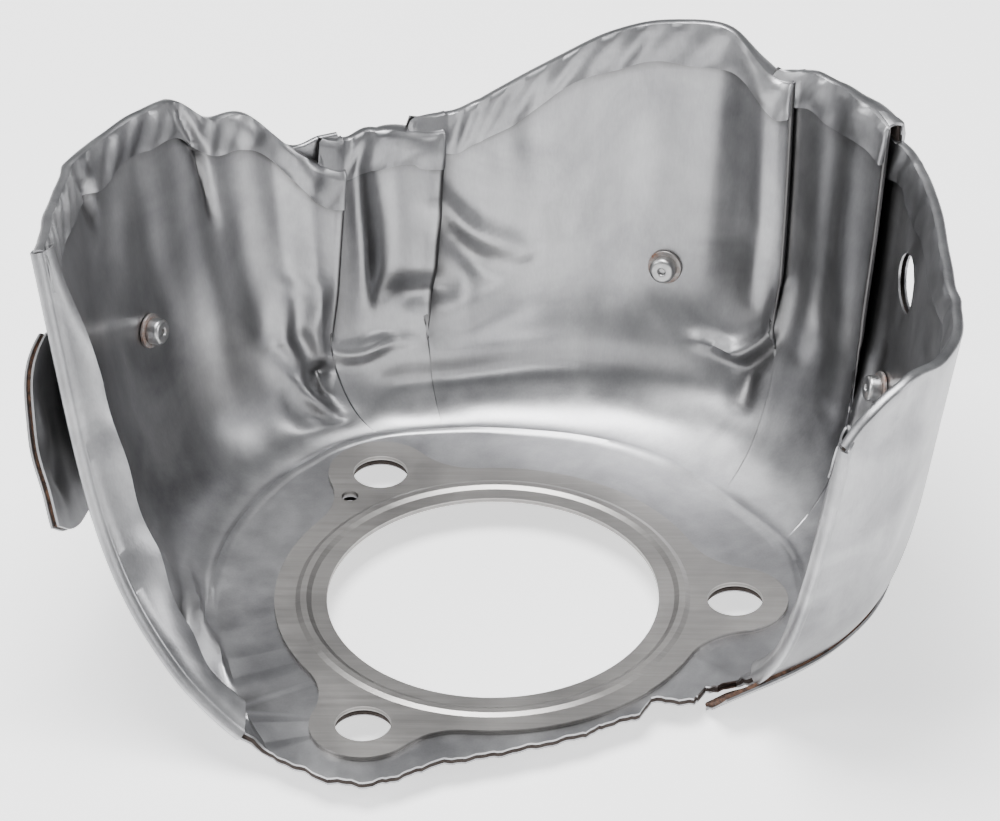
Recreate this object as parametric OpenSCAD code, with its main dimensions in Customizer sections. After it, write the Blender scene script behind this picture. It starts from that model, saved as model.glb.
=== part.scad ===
// Exhaust heat shield with a three-hole flange gasket in its floor.
// Millimetres. Origin: bore centre on the gasket's lower face. +Z runs up the bore into the bowl,
// +X points to the first stud hole, +Y to the back wall. The bowl is open at the front (-Y).

/* [Gasket] */
// Bore diameter
bore_d = 60; // [58:0.5:62]
// Diameter of the circle through the three stud holes
stud_circle_d = 87.5; // [86.5:0.5:90]
// Stud hole diameter
stud_hole_d = 10; // [8:0.5:11]
// Outside diameter of the sealing ring
ring_d = 79; // [78:0.5:80]
// Radius of the rounded lobe round each stud hole
lobe_r = 9.6; // [8.5:0.1:10.5]
// Radius of the hollow corner between the ring and a lobe
fillet_r = 13; // [8:1:18]
// Thickness of one gasket layer
layer_t = 0.28; // [0.2:0.02:0.3]
// Clear distance from one layer to the next
layer_gap = 0.03; // [0.01:0.01:0.05]
// Inner diameter of the embossed bead
bead_inner_d = 65.6; // [64:0.2:67]
// Outer diameter of the embossed bead
bead_outer_d = 71.4; // [70:0.2:72]
// How far the bead stands out of its layer
bead_h = 0.4; // [0.2:0.05:0.6]
// Diameter of the locating hole beside one lobe
locating_d = 3.1; // [2:0.1:4]

/* [Shield] */
// Thickness of each metal skin
skin_t = 0.4; // [0.3:0.05:0.5]
// Thickness of the insulation between the skins
mat_t = 0.7; // [0.5:0.05:0.9]
// Height of the rim band that is folded over to the inside
hem_w = 7; // [4:0.5:9]
// Round window in the floor that leaves the sealing ring free
window_d = 73.6; // [72.6:0.2:75]
// Extra width of the stud holes where they pass the floor
stud_clearance = 1; // [0.5:0.1:2]
// How far each wall panel leans in where it laps over the next
lap_depth = 1.8; // [0:0.1:2.4]
// Rim height as a factor of the built one
rim_scale = 1; // [0.95:0.01:1.05]
// Diameter of the round hole in the right wall
wall_hole_d = 11; // [8:0.5:12]

/* [Fasteners] */
// Rivet shank diameter
shank_d = 3.2; // [2.8:0.1:4]
// Rivet head diameter
head_d = 4.8; // [4.4:0.1:5.6]
// How far the rivet head stands off its washer
head_h = 2.4; // [1.5:0.1:3]
// Washer diameter
washer_d = 6.4; // [6:0.2:9]
// Washer thickness
washer_t = 0.6; // [0.4:0.1:1]
// Diameter of the collar on the outside
collar_d = 6; // [5.2:0.1:8]
// Thickness of the collar on the outside
collar_t = 1.4; // [1:0.1:2]

/* [Outside pieces] */
// Widest stand-off of the side deflector's front edge
deflector_gap = 6; // [4:0.5:9]
// How far the strap's free end hangs below the wall
strap_drop = 4; // [2:0.5:5]

/* [Hidden] */
$fn = 96;

sheet_gap = 0.05;          // clear distance between stacked sheets
mat_lo = skin_t + sheet_gap;
mat_hi = mat_lo + mat_t;
outer_lo = mat_hi + sheet_gap;
outer_hi = outer_lo + skin_t;
seat_gap = 0.15;           // clear distance of a flat fastener from the curved wall
gasket_t = 3*layer_t + 2*layer_gap;
stud_angles = [0, 120, 240];
locating_angle = 132;
locating_r = 40.6;

// The wall, from its left front edge round the back to its right front edge.
// Each row: the place where the flat floor ends [x, y], the knee that pulls the curve
// outwards [x, y, z], and the rim [x, y, z].
wall_stations = [
  [[-38, -45], [-66, -31, 13], [-77.5, -10, 82]],
  [[-43, -33], [-66, -24, 7], [-77.3, -3, 80.5]],
  [[-47, -18], [-66, -12, 3], [-77, 6, 79]],
  [[-49, 0], [-66.5, 6, 0], [-76, 17, 77.5]],
  [[-48, 14], [-65, 20, 0], [-74, 27, 77]],
  [[-44, 26], [-61, 31, 0], [-69.5, 35.5, 76]],
  [[-39, 35], [-57, 39, 0], [-64, 43, 76]],
  [[-34, 41], [-51, 45, 0], [-58, 49, 74.5]],
  [[-30, 45], [-46, 50, 0], [-52.5, 53.5, 68]],
  [[-26, 47.5], [-41, 54, 0], [-46, 58, 66]],
  [[-22, 49.5], [-34, 57, 0], [-38, 62, 56]],
  [[-18, 50.5], [-27, 60, 0], [-29.5, 65.5, 50]],
  [[-14, 51], [-21, 62, 0], [-23, 68, 57]],
  [[-8, 51.5], [-11, 64, 0], [-11, 71, 55]],
  [[-3, 51.5], [-4, 65.5, 0], [-4, 72.5, 60]],
  [[6, 50.5], [6, 67, 0], [7, 74.5, 66]],
  [[14, 49], [17, 67, 0], [19, 75, 73]],
  [[22, 46], [28, 66, 0], [30, 74, 76.5]],
  [[30, 41], [39, 62.5, 0], [42, 71, 77]],
  [[37, 34], [48.5, 57, 0], [51.5, 66, 70]],
  [[42, 28], [55, 52, 0], [58, 61, 73]],
  [[47, 22], [61, 45, 0], [65.5, 54.5, 74]],
  [[51, 16], [67, 36, 0], [72, 46, 73]],
  [[53, 11], [69.5, 28, 0], [75, 38.5, 70]],
  [[54, 5], [71.5, 16, 1], [77.8, 27, 70]],
  [[55, 0], [72.5, 4, 2], [79.5, 10, 70]],
  [[55, -5], [73, -8, 4], [80.3, -3, 70]],
  [[54, -10], [71.5, -18, 6], [81.3, -13, 70]],
  [[52, -14], [67.5, -26, 8], [78, -24.5, 71.5]],
  [[50, -17], [63, -31.5, 10], [72, -32.5, 73]],
  [[47, -20], [58, -35.5, 12], [66, -38, 70]],
  [[44, -23], [54, -38, 14], [61, -41.5, 65]]
];
// Free front edge of the floor, from the right wall to the left wall
floor_front = [
  [38.5, -25], [36.5, -28.5], [29, -28], [27, -32.5], [21, -35.5], [17, -38.5],
  [8, -42], [-1, -45], [-9, -47], [-15, -51], [-21, -53.5], [-29, -51.5]
];
last = len(wall_stations) - 1;
columns_per_station = 2;
rows = 10;
// The wall is cut into panels that lap over each other. Stations of the laps, and how much
// higher the rim starts behind each lap
lap_at = [11, 13, 19.4, 22];
lap_rise = [6, 3, 2, -3.5];
lap_half = 0.06;           // half the width of a lap's step, in stations
lap_foot = 0.45;           // height parameters where a lap starts and where it is full
lap_full = 0.7;
shoulder_in = 0.25;        // how far the upper handle leans from the knee to the rim
shoulder_up = 0.4;         // its height between the knee and the rim

// Places on the wall: [station, height parameter from floor 0 to rim 1]
left_rivet_at = [5.1, 0.66];
rear_rivet_at = [17.2, 0.58];
right_rivet_at = [23, 0.59];
wall_hole_at = [23.4, 0.826];

// Value of a smooth curve through the rows of p at parameter t
function row_at(p, i) =
  i < 0 ? 2*p[0] - p[1] : i >= len(p) ? 2*p[len(p) - 1] - p[len(p) - 2] : p[i];
function spline(p, t) =
  let(i = min(max(floor(t), 0), len(p) - 2), f = t - i,
      a = row_at(p, i - 1), b = row_at(p, i), c = row_at(p, i + 1), d = row_at(p, i + 2))
  0.5*(2*b + (c - a)*f + (2*a - 5*b + 4*c - d)*f*f + (3*b - a - 3*c + d)*f*f*f);

floor_line = [for (s = wall_stations) [s[0].x, s[0].y, 0]];
knee_line = [for (s = wall_stations) s[1]];
rim_line = [for (s = wall_stations) [s[2].x, s[2].y, s[2].z*rim_scale]];

function sum(a, i = 0) = i < len(a) ? a[i] + sum(a, i + 1) : 0;
// Extra rim height behind the laps; it fades out over one station
function rim_rise(u) =
  sum([for (k = [0:len(lap_at) - 1]) let(t = u - lap_at[k]) t > 0 && t < 1 ? lap_rise[k]*(1 - t) : 0]);

// Inside face of the wall at station u and height parameter v
function wall(u, v) =
  let(p0 = spline(floor_line, u), p1 = spline(knee_line, u),
      p3 = spline(rim_line, u) + [0, 0, rim_rise(u)],
      p2 = [p1.x + shoulder_in*(p3.x - p1.x), p1.y + shoulder_in*(p3.y - p1.y),
            p1.z + shoulder_up*(p3.z - p1.z)], w = 1 - v)
  w*w*w*p0 + 3*w*w*v*p1 + 3*w*v*v*p2 + v*v*v*p3;

function unit(a) = a/norm(a);
function sorted(a) = len(a) < 2 ? a :
  let(mid = a[floor(len(a)/2)])
  concat(sorted([for (x = a) if (x < mid) x]), [mid], sorted([for (x = a) if (x > mid) x]));
step = 0.01;
// Direction that leaves the bowl, square to the wall
function outward(u, v) =
  let(u0 = max(u - step, 0), u1 = min(u + step, last))
  unit(cross(wall(u, v + step) - wall(u, v - step), wall(u1, v) - wall(u0, v)));
// How far a panel leans into the bowl to pass in front of the next one
function lean(u, v) =
  let(panels = concat([0], lap_at, [last + 1]),
      k = max([for (i = [0:len(panels) - 2]) if (u >= panels[i]) i]),
      along = (u - panels[k])/(panels[k + 1] - panels[k]),
      up = min(max((v - lap_foot)/(lap_full - lap_foot), 0), 1))
  k == len(lap_at) ? 0 : lap_depth*pow(along, 4)*up;
// A point off the inside face; the floor line itself moves straight down
function offset_wall(u, v, d) =
  wall(u, v) + (v <= 0 ? [0, 0, -d] : (d - lean(u, v))*outward(u, v));
// Height parameter that lies the hem's width below the rim
function hem_v(u) =
  let(top = wall(u, 1), below = wall(u, 0.9)) 1 - 0.1*hem_w/norm(top - below);

// One closed sheet: the floor and the wall in one piece.
// near and far list each column's points on the two faces, floor point first.
module closed_sheet(near, far, front, lo, hi) {
  n = len(near);
  m = len(near[0]);
  k = len(front);
  far_0 = n*m;
  front_lo = 2*n*m;
  front_hi = front_lo + k;
  middle_lo = front_hi + k;
  middle_hi = middle_lo + 1;
  points = concat([for (c = near) each c], [for (c = far) each c],
                  [for (p = front) [p.x, p.y, -lo]], [for (p = front) [p.x, p.y, -hi]],
                  [[0, 0, -lo], [0, 0, -hi]]);
  edge_near = concat([for (i = [0:n - 1]) i*m], [for (j = [0:k - 1]) front_lo + j]);
  edge_far = concat([for (i = [0:n - 1]) far_0 + i*m], [for (j = [0:k - 1]) front_hi + j]);
  edge_n = len(edge_near);
  faces = concat(
    [for (i = [0:edge_n - 1]) let(j = (i + 1) % edge_n)
      each [[middle_lo, edge_near[i], edge_near[j]], [middle_hi, edge_far[j], edge_far[i]]]],
    [for (i = [0:n - 2], j = [0:m - 2]) let(a = i*m + j)
      each [[a, a + 1, a + m + 1], [a, a + m + 1, a + m]]],
    [for (i = [0:n - 2], j = [0:m - 2]) let(a = far_0 + i*m + j)
      each [[a, a + m + 1, a + 1], [a, a + m, a + m + 1]]],
    [for (i = [0:n - 2]) let(a = i*m + m - 1, b = far_0 + a)
      each [[a, b, b + m], [a, b + m, a + m]]],
    [for (j = [0:m - 2]) let(b = far_0 + j)
      each [[j + 1, j, b], [j + 1, b, b + 1]]],
    [for (j = [0:m - 2]) let(a = (n - 1)*m + j, b = far_0 + a)
      each [[a, a + 1, b + 1], [a, b + 1, b]]],
    [for (i = [n - 1:edge_n - 1]) let(j = (i + 1) % edge_n)
      each [[edge_near[j], edge_near[i], edge_far[i]], [edge_near[j], edge_far[i], edge_far[j]]]]
  );
  polyhedron(points, faces, convexity = 6);
}

// Stations of the columns: even steps, and a pair at each lap
function clear_of_laps(u) = min([for (s = lap_at) abs(u - s)]) > 2*lap_half;
columns = sorted(concat(
  [for (i = [0:last*columns_per_station]) let(u = i/columns_per_station) if (clear_of_laps(u)) u],
  [for (s = lap_at) each [s - lap_half, s + lap_half]]));
heights = [for (j = [0:rows]) j/rows];

// Flat sheet of the shield between the offsets lo and hi
module plain_sheet(lo, hi) {
  closed_sheet([for (u = columns) [for (v = heights) offset_wall(u, v, lo)]],
               [for (u = columns) [for (v = heights) offset_wall(u, v, hi)]],
               floor_front, lo, hi);
}

// Outer sheet, whose edge goes over the rim and down the inside
module hemmed_sheet(lo, hi) {
  function up(u, d) = d*unit(wall(u, 1) - wall(u, 0.9));
  near = [for (u = columns) concat(
    [for (v = heights) offset_wall(u, v, lo) + (v == 1 ? up(u, sheet_gap) : [0, 0, 0])],
    [offset_wall(u, 1, -sheet_gap) + up(u, sheet_gap), offset_wall(u, hem_v(u), -sheet_gap)])];
  far = [for (u = columns) concat(
    [for (v = heights) offset_wall(u, v, hi) + (v == 1 ? up(u, sheet_gap + skin_t) : [0, 0, 0])],
    [offset_wall(u, 1, -sheet_gap - skin_t) + up(u, sheet_gap + skin_t),
     offset_wall(u, hem_v(u), -sheet_gap - skin_t)])];
  closed_sheet(near, far, floor_front, lo, hi);
}

// Puts its children on the wall with +Z pointing out of the bowl
module on_wall(at) {
  n = outward(at[0], at[1]);
  translate(offset_wall(at[0], at[1], 0)) rotate([0, acos(n.z), atan2(n.y, n.x)]) children();
}

module bar(d, z0, z1) {
  translate([0, 0, z0]) cylinder(d = d, h = z1 - z0);
}

// Everything that is cut through the shield: window, stud holes, rivet holes, wall hole
module shield_cuts(extra) {
  bar(window_d + 2*extra, -3, 3);
  for (a = stud_angles)
    rotate(a) translate([stud_circle_d/2, 0, 0]) bar(stud_hole_d + stud_clearance + 2*extra, -3, 3);
  rotate(locating_angle) translate([locating_r, 0, 0]) bar(locating_d + 2*extra, -3, 3);
  for (at = [left_rivet_at, rear_rivet_at, right_rivet_at])
    on_wall(at) bar(shank_d + 0.1 + 2*extra, -3, 5);
  on_wall(wall_hole_at) bar(wall_hole_d + 2*extra, -4, 6);
}

module inner_skin() {
  color("silver") difference() {
    plain_sheet(0, skin_t);
    shield_cuts(0);
  }
}

module insulation_mat() {
  color("saddlebrown") difference() {
    plain_sheet(mat_lo, mat_hi);
    shield_cuts(0.3);
  }
}

module outer_skin() {
  color("darkgray") difference() {
    hemmed_sheet(outer_lo, outer_hi);
    shield_cuts(0);
  }
}

// Outline of the gasket: ring, three lobes and the hollow corners between them
module gasket_outline() {
  ring_r = ring_d/2;
  lobe_at = stud_circle_d/2;
  side_a = ring_r + fillet_r;
  side_b = lobe_r + fillet_r;
  turn = acos((lobe_at*lobe_at + side_a*side_a - side_b*side_b)/(2*lobe_at*side_a));
  corner = side_a*[cos(turn), sin(turn)];
  circle(r = ring_r);
  for (a = stud_angles) rotate(a) {
    translate([lobe_at, 0]) circle(r = lobe_r);
    for (side = [0, 1]) mirror([0, side]) difference() {
      polygon([[0, 0], [lobe_at, 0], corner]);
      translate(corner) circle(r = fillet_r);
    }
  }
}

// One flat layer with all its holes; bead is +1 for a bead upwards, -1 downwards, 0 for none
module gasket_layer(z, bead) {
  r_in = bead_inner_d/2;
  r_out = bead_outer_d/2;
  flank = 0.9;
  h = bead*bead_h;
  difference() {
    translate([0, 0, z]) linear_extrude(layer_t) gasket_outline();
    bar(bore_d, z - 1, z + 2);
    for (a = stud_angles)
      rotate(a) translate([stud_circle_d/2, 0, 0]) bar(stud_hole_d, z - 1, z + 2);
    rotate(locating_angle) translate([locating_r, 0, 0]) bar(locating_d, z - 1, z + 2);
    if (bead != 0) difference() {
      bar(bead_outer_d, z - 1, z + 2);
      bar(bead_inner_d, z - 2, z + 3);
    }
  }
  if (bead != 0) translate([0, 0, z]) rotate_extrude()
    polygon([[r_in, 0], [r_in + flank, h], [r_out - flank, h], [r_out, 0],
             [r_out, layer_t], [r_out - flank, layer_t + h], [r_in + flank, layer_t + h],
             [r_in, layer_t]]);
}

module gasket_top_layer() {
  color("lightsteelblue") gasket_layer(2*(layer_t + layer_gap), 1);
}

module gasket_core_layer() {
  color("gray") gasket_layer(layer_t + layer_gap, 0);
}

module gasket_bottom_layer() {
  color("lightsteelblue") gasket_layer(0, -1);
}

wall_grip = outer_hi;                          // clamped thickness: one shield wall
double_grip = 2*outer_hi + seat_gap;           // two sheets, one on the other

// Stud rivet: shank, standing head with a dimple, and an upset end over the collar
module rivet(grip) {
  head_0 = -seat_gap - washer_t - 0.02;
  end = grip + seat_gap + collar_t + 0.02;
  dimple_r = head_d*0.22;
  difference() {
    union() {
      bar(shank_d, head_0 - 0.2, end + 0.2);
      translate([0, 0, head_0 - head_h]) rotate_extrude()
        polygon([[0, 0], [head_d*0.36, 0], [head_d/2, head_h*0.3], [head_d/2, head_h], [0, head_h]]);
      bar(shank_d + 1.2, end, end + 0.6);
    }
    bar(2*dimple_r, head_0 - head_h - 1, head_0 - head_h + 0.8);
  }
}

module washer() {
  difference() {
    bar(washer_d, -seat_gap - washer_t, -seat_gap);
    bar(shank_d + 0.06, -5, 5);
  }
}

module collar(grip) {
  difference() {
    bar(collar_d, grip + seat_gap, grip + seat_gap + collar_t);
    bar(shank_d + 0.06, grip - 2, grip + 6);
  }
}

module left_rivet() { color("lightgray") on_wall(left_rivet_at) rivet(double_grip); }
module rear_rivet() { color("lightgray") on_wall(rear_rivet_at) rivet(wall_grip); }
module right_rivet() { color("lightgray") on_wall(right_rivet_at) rivet(double_grip); }
module left_washer() { color("sienna") on_wall(left_rivet_at) washer(); }
module rear_washer() { color("sienna") on_wall(rear_rivet_at) washer(); }
module right_washer() { color("sienna") on_wall(right_rivet_at) washer(); }
module left_collar() { color("gray") on_wall(left_rivet_at) collar(double_grip); }
module rear_collar() { color("gray") on_wall(rear_rivet_at) collar(wall_grip); }
module right_collar() { color("gray") on_wall(right_rivet_at) collar(double_grip); }

// Closed patch from two grids of points, near and far, of the same size
module closed_patch(near, far) {
  n = len(near);
  m = len(near[0]);
  q = n*m;
  faces = concat(
    [for (i = [0:n - 2], j = [0:m - 2]) let(a = i*m + j)
      each [[a, a + 1, a + m + 1], [a, a + m + 1, a + m]]],
    [for (i = [0:n - 2], j = [0:m - 2]) let(a = q + i*m + j)
      each [[a, a + m + 1, a + 1], [a, a + m, a + m + 1]]],
    [for (i = [0:n - 2]) let(a = i*m + m - 1, b = q + a)
      each [[a, b, b + m], [a, b + m, a + m]]],
    [for (i = [0:n - 2]) let(a = i*m, b = q + a)
      each [[b, a, a + m], [b, a + m, b + m]]],
    [for (j = [0:m - 2]) let(b = q + j)
      each [[j + 1, j, b], [j + 1, b, b + 1]]],
    [for (j = [0:m - 2]) let(a = (n - 1)*m + j, b = q + a)
      each [[a, a + 1, b + 1], [a, b + 1, b]]]
  );
  polyhedron(concat([for (c = near) each c], [for (c = far) each c]), faces, convexity = 4);
}

// Side deflector: a second sheet outside the left wall, clamped by the left rivet and
// flared away from the wall towards the front
deflector_end = 7;                             // station where it ends at the back
deflector_low = 0.57;                          // height parameters of its edges
deflector_high = 0.89;
deflector_drop = 0.14;                         // its back end sits this much lower
function deflector_point(s, t, d) =
  let(u = s*deflector_end,
      v = deflector_low + t*(deflector_high - deflector_low) - deflector_drop*s,
      flare = deflector_gap*pow(1 - s, 2)*(1 - pow(t, 5)))
  offset_wall(u, v, outer_hi + seat_gap + d) - flare*[1, 0.2, 0];

module deflector_sheet(lo, hi) {
  s_steps = 14;
  t_steps = 9;
  difference() {
    closed_patch(
      [for (i = [0:s_steps]) [for (j = [0:t_steps]) deflector_point(i/s_steps, j/t_steps, lo)]],
      [for (i = [0:s_steps]) [for (j = [0:t_steps]) deflector_point(i/s_steps, j/t_steps, hi)]]);
    on_wall(left_rivet_at) bar(shank_d + 0.1, -3, 7);
  }
}

module side_deflector_inner_skin() { color("dimgray") deflector_sheet(0, skin_t); }
module side_deflector_mat() { color("saddlebrown") deflector_sheet(mat_lo, mat_hi); }
module side_deflector_outer_skin() { color("darkgray") deflector_sheet(outer_lo, outer_hi); }

// Strap: clamped by the right rivet outside the wall, it runs down and forward and its free
// end hangs below the floor at the right front
strap_half = 0.07;                             // half its width as a height parameter
strap_reach = 7;                               // how far its free end bends in under the floor
function strap_point(s, t, d) =
  let(u = right_rivet_at[0] - 0.6 + s*(last - right_rivet_at[0] + 0.6),
      mid = right_rivet_at[1]*pow(1 - s, 1.3) + 0.09*s, v = mid + (2*t - 1)*strap_half,
      bend = s*s*s)
  offset_wall(u, v, outer_hi + seat_gap + d) - bend*[strap_reach, 0, strap_drop];

module strap_sheet(lo, hi) {
  s_steps = 18;
  t_steps = 4;
  difference() {
    closed_patch(
      [for (i = [0:s_steps]) [for (j = [0:t_steps]) strap_point(i/s_steps, j/t_steps, lo)]],
      [for (i = [0:s_steps]) [for (j = [0:t_steps]) strap_point(i/s_steps, j/t_steps, hi)]]);
    on_wall(right_rivet_at) bar(shank_d + 0.1, -3, 7);
  }
}

module strap_mat() { color("saddlebrown") strap_sheet(0, mat_t); }
module strap_skin() { color("darkgray") strap_sheet(mat_t + sheet_gap, mat_t + sheet_gap + skin_t); }

inner_skin();
insulation_mat();
outer_skin();
gasket_top_layer();
gasket_core_layer();
gasket_bottom_layer();
left_rivet();
rear_rivet();
right_rivet();
left_washer();
rear_washer();
right_washer();
left_collar();
rear_collar();
right_collar();
side_deflector_inner_skin();
side_deflector_mat();
side_deflector_outer_skin();
strap_mat();
strap_skin();
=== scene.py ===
"""Exhaust heat shield with its flange gasket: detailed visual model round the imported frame."""
import math

import bmesh
import bpy
import numpy as np
from mathutils import Matrix, Vector, geometry


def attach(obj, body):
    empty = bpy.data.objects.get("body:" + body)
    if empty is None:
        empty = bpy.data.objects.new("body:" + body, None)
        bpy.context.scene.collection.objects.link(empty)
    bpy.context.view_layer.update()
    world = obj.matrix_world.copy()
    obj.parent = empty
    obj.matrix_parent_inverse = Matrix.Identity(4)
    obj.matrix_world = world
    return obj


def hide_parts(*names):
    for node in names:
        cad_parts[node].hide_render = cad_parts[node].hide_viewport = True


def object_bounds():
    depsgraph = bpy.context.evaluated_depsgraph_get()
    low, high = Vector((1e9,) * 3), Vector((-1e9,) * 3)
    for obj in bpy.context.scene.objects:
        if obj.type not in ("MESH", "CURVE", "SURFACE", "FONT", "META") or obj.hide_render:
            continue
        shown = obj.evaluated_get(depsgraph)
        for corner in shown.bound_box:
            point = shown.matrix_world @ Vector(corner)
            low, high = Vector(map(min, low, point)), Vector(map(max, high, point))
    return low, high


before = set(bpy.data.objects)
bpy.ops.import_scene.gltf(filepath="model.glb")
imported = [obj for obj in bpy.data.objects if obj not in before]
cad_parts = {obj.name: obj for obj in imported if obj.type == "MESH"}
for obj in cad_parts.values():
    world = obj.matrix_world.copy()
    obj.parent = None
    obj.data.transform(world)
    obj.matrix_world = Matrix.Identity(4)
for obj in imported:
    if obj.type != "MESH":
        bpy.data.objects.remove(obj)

cad_low, cad_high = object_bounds()
MM = 0.001

# ---------------------------------------------------------------- sizes, in millimetres
# Thickness of a sheet and of the felt, and the air between them
SKIN, MAT, GAP = 0.4, 0.7, 0.05
# Faces of the felt and of the outer sheet, outward from the wall's inside face
MAT_LO = SKIN + GAP
MAT_HI = MAT_LO + MAT
OUTER_LO = MAT_HI + GAP
OUTER_HI = OUTER_LO + SKIN
# How far the fasteners' flat faces stand off the curved wall
SEAT = 0.15
# Band folded over the rim to the inside
HEM = 7.0
# Floor openings and the round hole in the wall
WINDOW_R = 36.8
STUD_R, STUD_CIRCLE_R = 5.5, 43.75
LOCATING_R, LOCATING_AT, LOCATING_ANGLE = 1.55, 40.6, 132
WALL_HOLE_R = 5.5
# How much wider the felt is cut round the openings, and how far it shows inside the stud holes
FELT_CUT, FELT_STUD_CUT = 1.2, 0.25
# Rivet, washer and collar
SHANK_R, HEAD_R, HEAD_H = 1.6, 2.4, 2.4
WASHER_R, WASHER_T, COLLAR_R, COLLAR_T = 3.2, 0.6, 3.0, 1.4
# Side deflector: lower edge and height as shares of the wall, slope, length in stations, flare
DEFLECTOR_LOW, DEFLECTOR_HEIGHT, DEFLECTOR_SLOPE = 0.57, 0.32, 0.14
DEFLECTOR_STATIONS, DEFLECTOR_FLARE = 7, 6
# Strap: where it starts before the right rivet, half its width, end height, and its bent end
STRAP_START, STRAP_HALF, STRAP_END_V = 0.6, 0.07, 0.09
STRAP_REACH, STRAP_DROP = 7, 4.0

# ---------------------------------------------------------------- places on the wall
# A place is (u, v): the station along the wall, left to right, and the share of the wall's height.
# The laps, where one panel is folded over the next: stations, extra rim height behind, depth
LAPS = [11, 13, 19.4, 22]
LAP_RISE = [6, 3, 2, -3.5]
LAP_DEPTHS = [2.2, 2.2, 1.9, 2.2]
# Heights at which a lap starts to open and is fully open
LAP_FROM, LAP_FULL = 0.43, 0.72
# Section of a lap's fold behind its free edge: stations from the lap, share of its depth
FOLD_BACK = [(0.03, 0.95), (0.05, 0.85), (0.05, 0.68), (0.02, 0.56), (-0.08, 0.52), (-0.28, 0.50),
             (-0.48, 0.44), (-0.54, 0.34), (-0.50, 0.24), (-0.36, 0.18), (-0.15, 0.10)]
LEFT_RIVET, REAR_RIVET, RIGHT_RIVET = (5.1, 0.66), (17.2, 0.58), (23, 0.59)
WALL_HOLE = (23.4, 0.826)

# The wall's stations, as in the part: floor edge (x, y), knee (x, y, z), rim (x, y, z)
STATIONS = np.array([
    (-38, -45, -66, -31, 13, -77.5, -10, 82), (-43, -33, -66, -24, 7, -77.3, -3, 80.5),
    (-47, -18, -66, -12, 3, -77, 6, 79), (-49, 0, -66.5, 6, 0, -76, 17, 77.5),
    (-48, 14, -65, 20, 0, -74, 27, 77), (-44, 26, -61, 31, 0, -69.5, 35.5, 76),
    (-39, 35, -57, 39, 0, -64, 43, 76), (-34, 41, -51, 45, 0, -58, 49, 74.5),
    (-30, 45, -46, 50, 0, -52.5, 53.5, 68), (-26, 47.5, -41, 54, 0, -46, 58, 66),
    (-22, 49.5, -34, 57, 0, -38, 62, 56), (-18, 50.5, -27, 60, 0, -29.5, 65.5, 50),
    (-14, 51, -21, 62, 0, -23, 68, 57), (-8, 51.5, -11, 64, 0, -11, 71, 55),
    (-3, 51.5, -4, 65.5, 0, -4, 72.5, 60), (6, 50.5, 6, 67, 0, 7, 74.5, 66),
    (14, 49, 17, 67, 0, 19, 75, 73), (22, 46, 28, 66, 0, 30, 74, 76.5),
    (30, 41, 39, 62.5, 0, 42, 71, 77), (37, 34, 48.5, 57, 0, 51.5, 66, 70),
    (42, 28, 55, 52, 0, 58, 61, 73), (47, 22, 61, 45, 0, 65.5, 54.5, 74),
    (51, 16, 67, 36, 0, 72, 46, 73), (53, 11, 69.5, 28, 0, 75, 38.5, 70),
    (54, 5, 71.5, 16, 1, 77.8, 27, 70), (55, 0, 72.5, 4, 2, 79.5, 10, 70),
    (55, -5, 73, -8, 4, 80.3, -3, 70), (54, -10, 71.5, -18, 6, 81.3, -13, 70),
    (52, -14, 67.5, -26, 8, 78, -24.5, 71.5), (50, -17, 63, -31.5, 10, 72, -32.5, 73),
    (47, -20, 58, -35.5, 12, 66, -38, 70), (44, -23, 54, -38, 14, 61, -41.5, 65)], float)
LAST = len(STATIONS) - 1
# Upper control point of the wall's curve, as a share of the way from knee to rim in x, y and z
UPPER_CONTROL = np.array([0.25, 0.25, 0.4])
# Free front edge of the floor, right to left, and how far forward hand cutting may take it
FLOOR_FRONT = [(38.5, -25), (36.5, -28.5), (29, -28), (27, -32.5), (21, -35.5), (17, -38.5),
               (8, -42), (-1, -45), (-9, -47), (-15, -51), (-21, -53.5), (-29, -51.5)]
FRONT_LIMIT = -53.45


# ---------------------------------------------------------------- wall surface
def spline(rows, t):
    """Smooth curve through the rows at the parameters t; it goes on straight past its ends."""
    rows = np.vstack([2*rows[0] - rows[1], rows, 2*rows[-1] - rows[-2]])
    i = np.clip(np.floor(t).astype(int), 0, len(rows) - 4)
    f = (t - i)[..., None]
    a, b, c, d = rows[i], rows[i + 1], rows[i + 2], rows[i + 3]
    return 0.5*(2*b + (c - a)*f + (2*a - 5*b + 4*c - d)*f*f + (3*b - a - 3*c + d)*f**3)


def rim_lift(u):
    """Extra rim height behind the laps; it fades out over one station."""
    u = np.asarray(u, float)
    return sum(np.where((u > s) & (u < s + 1), rise*(1 - u + s), 0)
               for s, rise in zip(LAPS, LAP_RISE))


def wall(u, v, lift=None):
    """Inside face of the wall at station u and height v: a curve from floor edge past the knee to
    the rim. lift is extra rim height, where it isn't the one that goes with u."""
    lift = rim_lift(u) if lift is None else lift
    u, v = np.broadcast_arrays(np.asarray(u, float), np.asarray(v, float))
    s = spline(STATIONS, u)
    p0 = np.concatenate([s[..., :2], 0*s[..., :1]], -1)
    p1, p3 = s[..., 2:5], s[..., 5:8].copy()
    p3[..., 2] += lift
    p2 = p1 + (p3 - p1)*UPPER_CONTROL
    v = v[..., None]
    w = 1 - v
    return w**3*p0 + 3*w*w*v*p1 + 3*w*v*v*p2 + v**3*p3


def outward(u, v, lift=None):
    """Direction that leaves the bowl, square to the wall."""
    e = 0.01
    lift = rim_lift(u) if lift is None else lift
    u0, u1 = np.maximum(u - e, 0), np.minimum(u + e, LAST)
    n = np.cross(wall(u, v + e, lift) - wall(u, v - e, lift), wall(u1, v, lift) - wall(u0, v, lift))
    return n/np.linalg.norm(n, axis=-1, keepdims=True)


def smooth(x, a, b):
    """Soft step from 0 at a to 1 at b."""
    t = np.clip((x - a)/(b - a), 0, 1)
    return t*t*(3 - 2*t)


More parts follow.
